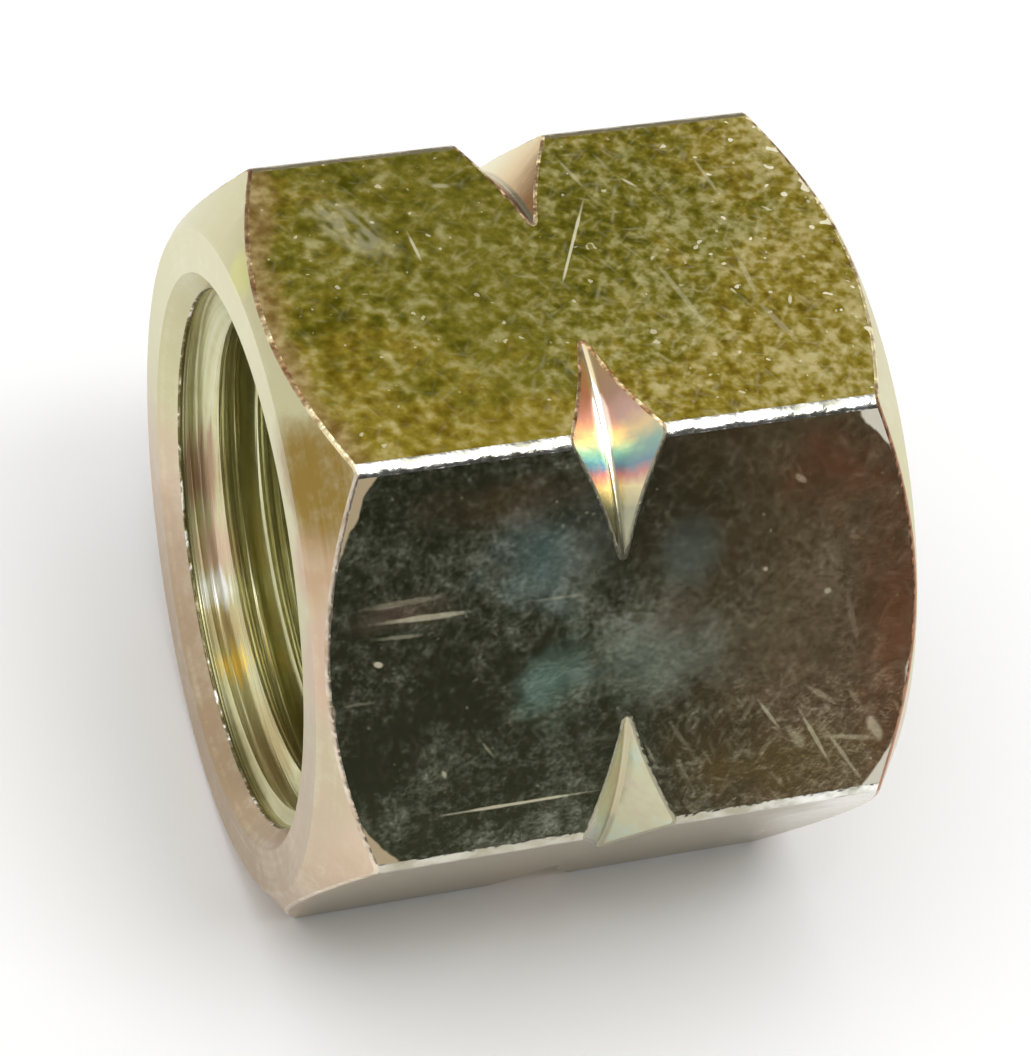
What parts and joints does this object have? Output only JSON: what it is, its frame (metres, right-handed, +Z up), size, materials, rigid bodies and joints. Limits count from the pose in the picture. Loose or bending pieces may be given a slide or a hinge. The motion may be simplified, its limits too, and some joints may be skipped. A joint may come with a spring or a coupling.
{
  "type": "union nut",
  "caption": "Chamfered hexagon union nut with a left-hand pipe thread, nicked corners and an inner collar for a hose tail.",
  "frame": {"origin": "on the bore axis, at mid-length and at the middle of the hexagon", "axes": "+X along the bore from the threaded mouth to the collar end; +Z up, normal to the top flat; the nut lies on its -Z flat"},
  "size_m": [0.019, 0.0252, 0.022],
  "materials": {
    "yellow_zinc_steel": "steel, zinc plated with yellow chromate, bright to satin, lightly scratched"
  },
  "bodies": {
    "root": {"union_nut": "yellow_zinc_steel"}
  },
  "joints": []
}
